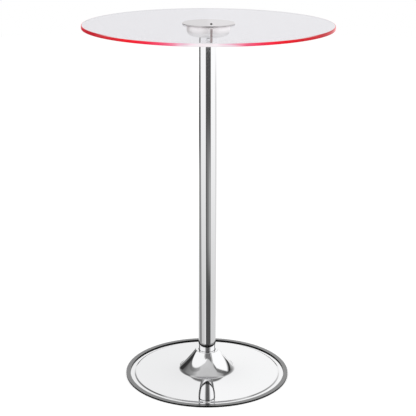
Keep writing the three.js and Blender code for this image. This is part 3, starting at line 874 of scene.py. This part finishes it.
def dress_nodes():
    smooth = smooth_group()
    slots = {row["node"]: row["material_slot"] for row in frame["record"]["subparts"]}
    for name, node in frame["nodes"].items():
        if node.hide_render:
            continue
        for slot in node.material_slots:
            slot.link = "OBJECT"
            slot.material = SLOT_MATERIALS[slots[name]]
        node.modifiers.new("smooth", "NODES").node_group = smooth


dress_nodes()


# Stage

def stage_floor():
    """A floor that shows white and takes the table's shadow. Mirrored rays go through it to the room."""
    made, g = material("stage_floor")
    grey, glow_strength, radius, sunk = (0.62, 0.62, 0.62, 1.0), 0.5, 7.0, 0.0002
    rays = g.node("ShaderNodeLightPath").outputs
    seen = g.math("MAXIMUM", rays["Is Camera Ray"], rays["Is Glossy Ray"])
    seen = g.math("MAXIMUM", seen, rays["Is Transmission Ray"])
    lit = g.node("ShaderNodeBsdfDiffuse", {"Color": grey}).outputs[0]
    strength = g.times(seen, glow_strength)
    glow = g.node("ShaderNodeEmission", {"Color": WHITE, "Strength": strength}).outputs[0]
    both = g.node("ShaderNodeAddShader", {0: lit, 1: glow}).outputs[0]
    gone = g.node("ShaderNodeBsdfTransparent").outputs[0]
    surface(g, g.mix_shaders(rays["Is Glossy Ray"], both, gone))
    bm = bmesh.new()
    bmesh.ops.create_circle(bm, cap_ends=True, segments=96, radius=radius)
    floor = finished("stage_floor", bm, [made])
    floor.location.z = -sunk


# The room that polished metal mirrors. A direction in it has a turn, in degrees from the front towards the
# right, and a rise over the horizon. A level is how bright the room is there: 1 is white

def upper_room(g, turn, rise, across):
    """The room above the panels: walls whose level changes with the turn, an even band over them, the dim
    ceiling and a dark beam at the back."""
    even_band, ceiling, dark_beam = 0.52, 0.34, 0.15
    stops = [
        (-180, 0.86), (-160, 0.80), (-150, 0.25), (-139, 0.12), (-123, 0.12), (-112, 0.20), (-85, 0.29),
        (-60, 0.54), (0, 0.58), (60, 0.50), (88, 0.34), (103, 0.12), (120, 0.12), (134, 0.22), (147, 0.45),
        (158, 0.85), (180, 0.93),
    ]
    level = g.ramp(turn, 360, 0.5, [(at, (value, value, value)) for at, value in stops])
    level = g.blend(g.step(rise, 53, 60), level, even_band)
    level = g.blend(g.step(rise, 62, 70), level, ceiling)
    beam = g.times(g.window(rise, 47.5, 55, 2.5), g.step(across, 152, 162))
    return g.blend(beam, level, dark_beam)


def panel_top(g, across, at_front, lost, power):
    """The rise of a panel's top edge, which falls away towards the back. What it loses is given for a turn
    of 100."""
    share = g.math("POWER", g.math("DIVIDE", across, 100), power)
    return g.math("SUBTRACT", at_front, g.times(share, lost))


def with_panels(g, level, turn, rise, across):
    """Adds a bright panel on either side, a shadow over their top edges and a dark gap behind each."""
    shadow_level, gap_level, left_panel, right_panel, low_panel = 0.1, 0.03, 0.93, 0.99, 0.62
    left_shadow, right_shadow, right_limit, low_wall_gain = 0.45, 0.8, 48.3, 1.03
    rightward = g.step(turn, -20, 20)
    left_top = panel_top(g, across, at_front=53.0, lost=19.5, power=3.4)
    right_top = panel_top(g, across, at_front=54.1, lost=16.4, power=2.6)
    right_top = g.math("MINIMUM", right_top, right_limit)
    over = g.math("SUBTRACT", rise, g.blend(rightward, left_top, right_top))
    shadow = g.times(g.window(over, 0, 3.5, 1.5), g.window(across, 50, 125, 15))
    level = g.blend(g.times(shadow, g.blend(rightward, left_shadow, right_shadow)), level, shadow_level)

    # The left gap is upright, and the right one slants
    left_gap = g.times(g.window(turn, -152, -116, 10), g.fall(rise, 17, 23))
    level = g.blend(left_gap, level, gap_level)
    slant = g.math("ADD", turn, g.times(rise, 1.1))
    right_gap = g.times(g.window(slant, 147, 151.5, 1.0), g.step(turn, 108, 116))
    level = g.blend(right_gap, level, gap_level)
    panel = g.times(g.blend(rightward, left_panel, right_panel), g.step(rise, -25, -8, low_panel, 1.0))
    within = g.times(g.fall(over, -0.8, 0.8), g.fall(g.blend(rightward, across, slant), 146, 150))
    level = g.blend(within, level, panel)

    # Low down the bright wall goes on round the back
    low_wall = g.times(g.fall(rise, -6, 2), g.step(across, 120, 124))
    return g.blend(low_wall, level, g.times(panel, low_wall_gain))


def with_zones(g, level, turn, rise):
    """Adds the dark and pale areas in front of the table and low down."""
    # Each row: turn from the front towards the right, from and to; rise from and to; softness of both; how
    # far the zone slides to the right for each degree that it reaches below the slide's start; level
    zones = [
        (-30, 31, -30, 18, 6, 2, 0.0, 0.80),
        (-28, 50, 15, 48.5, 8, 2, 0.0, 0.42),
        (-14, 34, 12, 49.8, 6, 1.5, 0.0, 0.10),
        (-17, 40, 46, 50.2, 6, 1.5, 0.0, 0.17),
        (-33, 31, -95, -8.75, 6, 0.2, 1.2, 0.075),
        (-20, 30, -19.5, -13, 12, 3, 1.2, 0.18),
        (4, 28, -19.5, -14.5, 10, 3, 1.2, 0.36),
        (-168, -120, -30, 3, 12, 4, 3.2, 0.24),
        (-178, -119, -14, -7.5, 6, 3, 1.6, 0.02),
        (94, 120, -24, -10, 12, 3, 4.0, 0.58),
    ]
    slide_start = -9.0
    below = g.math("MAXIMUM", g.math("SUBTRACT", slide_start, rise), 0.0)
    for turn_from, turn_to, rise_from, rise_to, turn_soft, rise_soft, slide, value in zones:
        slid = g.math("SUBTRACT", turn, g.times(below, slide))
        beside = g.window(slid, turn_from, turn_to, turn_soft)
        upright = g.window(rise, rise_from, rise_to, rise_soft)
        level = g.blend(g.times(beside, upright), level, value)
    floor_level = 0.82
    return g.blend(g.fall(rise, -36, -26), level, floor_level)


def studio_world():
    """Polished metal and glass see the room, the camera sees plain white, and the rest gets an even light. A
    ray that comes out of the glass at a low rise sees plain white too."""
    even_light, mirror_gain, white = 0.85, 1.07, 1.0
    world = bpy.data.worlds.new("studio")
    bpy.context.scene.world = world
    world.use_nodes = True
    g = Graph(world.node_tree)
    x, y, z = g.split(g.node("ShaderNodeTexCoord").outputs["Generated"])
    turn = g.turn(x, y)
    rise = g.math("DEGREES", g.math("ARCSINE", z))
    across = g.math("ABSOLUTE", turn)
    level = upper_room(g, turn, rise, across)
    level = with_panels(g, level, turn, rise, across)
    level = with_zones(g, level, turn, rise)
    rays = g.node("ShaderNodeLightPath").outputs
    mirrored = g.math("MAXIMUM", rays["Is Glossy Ray"], rays["Is Transmission Ray"])
    through_glass = g.times(rays["Is Transmission Ray"], g.fall(rise, 30, 40))
    plain = g.math("MAXIMUM", rays["Is Camera Ray"], through_glass)
    shown = g.blend(mirrored, even_light, g.times(level, mirror_gain))
    shown = g.blend(plain, shown, white)
    background = g.node("ShaderNodeBackground", {"Color": WHITE, "Strength": shown})
    output = g.node("ShaderNodeOutputWorld")
    g.tree.links.new(background.outputs[0], output.inputs["Surface"])


def lamp(name, location, target, watts):
    """A round soft lamp that neither metal nor glass shows."""
    data = bpy.data.lights.new(name, "AREA")
    data.shape = "DISK"
    data.size = 1.6
    data.energy = watts
    made = bpy.data.objects.new(name, data)
    made.location = location
    made.rotation_euler = (Vector(target) - Vector(location)).to_track_quat("-Z", "Y").to_euler()
    made.visible_glossy = False
    made.visible_transmission = False
    bpy.context.scene.collection.objects.link(made)


def camera():
    """The photograph's viewpoint. The focal length is in pixels of its picture."""
    distance, height = 3.22684, 1.48378
    pitch, roll, yaw = 0.29202, 0.00458, 0.0003
    focal, picture_width, sensor_width = 1167.26, 416, 36.0
    data = bpy.data.cameras.new("camera")
    data.sensor_width = sensor_width
    data.lens = focal * sensor_width / picture_width
    data.clip_start, data.clip_end = 0.05, 60.0
    made = bpy.data.objects.new("camera", data)
    right = Vector((math.cos(yaw), -math.sin(yaw), 0.0))
    level = Vector((math.sin(yaw), math.cos(yaw), 0.0))
    upright = Vector((0, 0, 1))
    forward = level * math.cos(pitch) - upright * math.sin(pitch)
    up = level * math.sin(pitch) + upright * math.cos(pitch)
    x_axis = right * math.cos(roll) + up * math.sin(roll)
    y_axis = up * math.cos(roll) - right * math.sin(roll)
    turn = Matrix((x_axis, y_axis, -forward)).transposed()
    made.matrix_world = Matrix.Translation((0.0, -distance, height)) @ turn.to_4x4()
    bpy.context.scene.collection.objects.link(made)
    bpy.context.scene.camera = made


stage_floor()
studio_world()
lamp("key", (-1.8, -2.2, 3.4), (0, 0, 0.5), 30.0)
lamp("fill", (2.4, -1.6, 2.6), (0, 0, 0.6), 16.0)
camera()
bpy.context.scene.view_settings.view_transform = "Standard"
